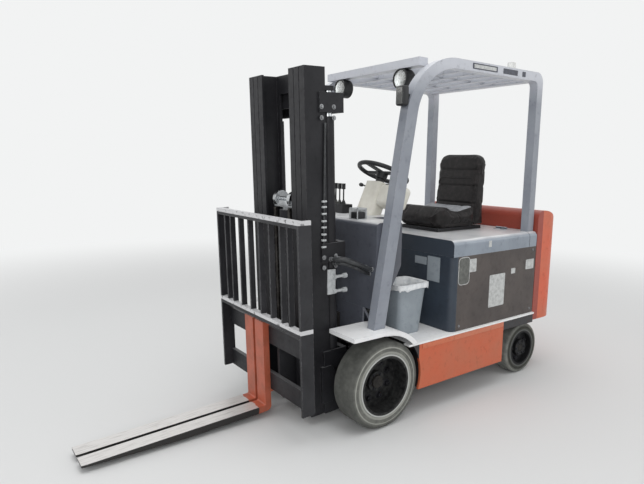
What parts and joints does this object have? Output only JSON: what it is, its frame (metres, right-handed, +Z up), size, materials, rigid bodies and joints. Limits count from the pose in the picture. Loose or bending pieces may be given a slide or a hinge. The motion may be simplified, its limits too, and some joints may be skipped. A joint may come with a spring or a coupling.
{
  "type": "electric counterbalance forklift truck",
  "caption": "Four-wheel counterbalance forklift with cushion tyres, a telescoping mast that tilts, a sliding pair of forks on a carriage, a backrest and an overhead guard.",
  "frame": {"origin": "on the floor, under the middle of the overall length and width", "axes": "+X is the truck's left, -Y the way the forks point, +Z up"},
  "size_m": [1.14, 3.3852, 2.245],
  "materials": {
    "orange_paint": "gloss",
    "dark_paint": "satin",
    "grey_paint": "satin",
    "light_paint": "satin",
    "brown_panel": "satin",
    "mast_steel": "worn",
    "bare_steel": "worn",
    "chrome_rod": "polished",
    "cast_iron": "rough",
    "tyre_rubber": "matt",
    "black_plastic": "matt",
    "seat_vinyl": "satin",
    "lamp": "gloss"
  },
  "bodies": {
    "chassis": {"drive_axle": "cast_iron", "drive_motor": "dark_paint", "chassis_frame": "orange_paint", "sill_strips": "light_paint", "floor_plate": "light_paint", "front_fenders": "light_paint", "bulkhead": "dark_paint", "battery_side_panels": "brown_panel", "battery": "dark_paint", "rear_deck": "grey_paint", "counterweight": "orange_paint", "tow_pin": "bare_steel", "guard_frames": "grey_paint", "guard_roof": "grey_paint", "steer_axle": "cast_iron", "steer_mounts": "cast_iron", "cowl": "grey_paint", "toe_plate": "grey_paint", "footwell_box": "light_paint", "steering_column": "black_plastic", "column_cover": "light_paint", "lever_console": "black_plastic", "pedals": "black_plastic", "work_lamps": "lamp", "warning_lamp": "lamp", "valve_bank": "cast_iron"},
    "drive_wheel_left": {"drive_tyre_left": "tyre_rubber", "drive_rim_left": "orange_paint"},
    "drive_wheel_right": {"drive_tyre_right": "tyre_rubber", "drive_rim_right": "orange_paint"},
    "steer_wheel_left": {"steer_tyre_left": "tyre_rubber", "steer_rim_left": "orange_paint"},
    "steer_wheel_right": {"steer_tyre_right": "tyre_rubber", "steer_rim_right": "orange_paint"},
    "knuckle_left": {"steer_knuckle_left": "cast_iron"},
    "knuckle_right": {"steer_knuckle_right": "cast_iron"},
    "steering_rod": {"steer_rod": "chrome_rod"},
    "steering_wheel": {"steering_wheel": "black_plastic"},
    "hood": {"hood": "grey_paint", "seat_base": "dark_paint", "seat_cushion": "seat_vinyl", "seat_back": "seat_vinyl"},
    "mast": {"mast_outer": "dark_paint", "lift_barrels": "dark_paint"},
    "mast_middle": {"mast_middle": "mast_steel", "lift_rods": "chrome_rod"},
    "mast_inner": {"mast_inner": "mast_steel", "free_lift_barrel": "dark_paint"},
    "free_lift": {"free_lift_rod": "chrome_rod", "lift_chains": "bare_steel"},
    "carriage": {"carriage": "dark_paint", "load_backrest": "dark_paint"},
    "fork_left": {"fork_left": "orange_paint"},
    "fork_right": {"fork_right": "orange_paint"},
    "tilt_barrel_left": {"tilt_barrel_left": "dark_paint"},
    "tilt_barrel_right": {"tilt_barrel_right": "dark_paint"},
    "tilt_rod_left": {"tilt_rod_left": "chrome_rod"},
    "tilt_rod_right": {"tilt_rod_right": "chrome_rod"}
  },
  "joints": [
    {"name": "drive_wheel_left_spin", "type": "hinge", "parent": "chassis", "child": "drive_wheel_left", "pos_m": [0.481, -0.10742, 0.2667], "axis": [1, 0, 0], "continuous": true},
    {"name": "drive_wheel_right_spin", "type": "hinge", "parent": "chassis", "child": "drive_wheel_right", "pos_m": [-0.481, -0.10742, 0.2667], "axis": [1, 0, 0], "continuous": true},
    {"name": "steer_left", "type": "hinge", "parent": "chassis", "child": "knuckle_left", "pos_m": [0.33, 1.34258, 0.1905], "axis": [0, 0, 1], "range_deg": [-65, 65]},
    {"name": "steer_wheel_left_spin", "type": "hinge", "parent": "knuckle_left", "child": "steer_wheel_left", "pos_m": [0.4415, 1.34258, 0.1905], "axis": [1, 0, 0], "continuous": true},
    {"name": "steer_right", "type": "hinge", "parent": "chassis", "child": "knuckle_right", "pos_m": [-0.33, 1.34258, 0.1905], "axis": [0, 0, 1], "range_deg": [-65, 65]},
    {"name": "steer_wheel_right_spin", "type": "hinge", "parent": "knuckle_right", "child": "steer_wheel_right", "pos_m": [-0.4415, 1.34258, 0.1905], "axis": [1, 0, 0], "continuous": true},
    {"name": "steering_rod_slide", "type": "slide", "parent": "chassis", "child": "steering_rod", "axis": [1, 0, 0], "range_m": [-0.052, 0.052]},
    {"name": "steering_wheel_turn", "type": "hinge", "parent": "chassis", "child": "steering_wheel", "pos_m": [0, 0.34258, 1.5], "axis": [0, 0.4226, 0.9063], "continuous": true},
    {"name": "hood_open", "type": "hinge", "parent": "chassis", "child": "hood", "pos_m": [0, 1.29458, 1.0905], "axis": [-1, 0, 0], "range_deg": [0, 50]},
    {"name": "mast_tilt", "type": "hinge", "parent": "chassis", "child": "mast", "pos_m": [0, -0.25742, 0.236], "axis": [1, 0, 0], "range_deg": [-7, 3]},
    {"name": "lift_middle", "type": "slide", "parent": "mast", "child": "mast_middle", "axis": [0, -0.0349, 0.9994], "range_m": [0, 1.52]},
    {"name": "lift_inner", "type": "slide", "parent": "mast_middle", "child": "mast_inner", "axis": [0, -0.0349, 0.9994], "range_m": [0, 1.52]},
    {"name": "carriage_lift", "type": "slide", "parent": "mast_inner", "child": "carriage", "axis": [0, -0.0349, 0.9994], "range_m": [0, 1.52]},
    {"name": "free_lift_slide", "type": "slide", "parent": "mast_inner", "child": "free_lift", "axis": [0, -0.0349, 0.9994], "range_m": [0, 0.76], "deforming": ["lift_chains"]},
    {"name": "fork_left_slide", "type": "slide", "parent": "carriage", "child": "fork_left", "axis": [1, 0, 0], "range_m": [0, 0.419]},
    {"name": "fork_right_slide", "type": "slide", "parent": "carriage", "child": "fork_right", "axis": [-1, 0, 0], "range_m": [0, 0.285]},
    {"name": "tilt_barrel_left_pivot", "type": "hinge", "parent": "chassis", "child": "tilt_barrel_left", "pos_m": [0.212, 0.16258, 0.394], "axis": [1, 0, 0], "range_deg": [-0.81, 1.81]},
    {"name": "tilt_rod_left_slide", "type": "slide", "parent": "tilt_barrel_left", "child": "tilt_rod_left", "axis": [0, -0.9995, 0.0325], "range_m": [-0.0214, 0.0098]},
    {"name": "tilt_barrel_right_pivot", "type": "hinge", "parent": "chassis", "child": "tilt_barrel_right", "pos_m": [-0.212, 0.16258, 0.394], "axis": [1, 0, 0], "range_deg": [-0.81, 1.81]},
    {"name": "tilt_rod_right_slide", "type": "slide", "parent": "tilt_barrel_right", "child": "tilt_rod_right", "axis": [0, -0.9995, 0.0325], "range_m": [-0.0214, 0.0098]}
  ],
  "couplings": [
    {"joint": "steer_right", "follows": "steer_left", "ratio": 1},
    {"joint": "steering_rod_slide", "follows": "steer_left", "m_per_rad": -0.04394},
    {"joint": "lift_inner", "follows": "lift_middle", "ratio": 1},
    {"joint": "free_lift_slide", "follows": "carriage_lift", "ratio": 0.5},
    {"joint": "tilt_barrel_left_pivot", "follows": "mast_tilt", "ratio": -0.2521},
    {"joint": "tilt_rod_left_slide", "follows": "mast_tilt", "m_per_rad": 0.16734},
    {"joint": "tilt_barrel_right_pivot", "follows": "mast_tilt", "ratio": -0.2521},
    {"joint": "tilt_rod_right_slide", "follows": "mast_tilt", "m_per_rad": 0.16734}
  ]
}
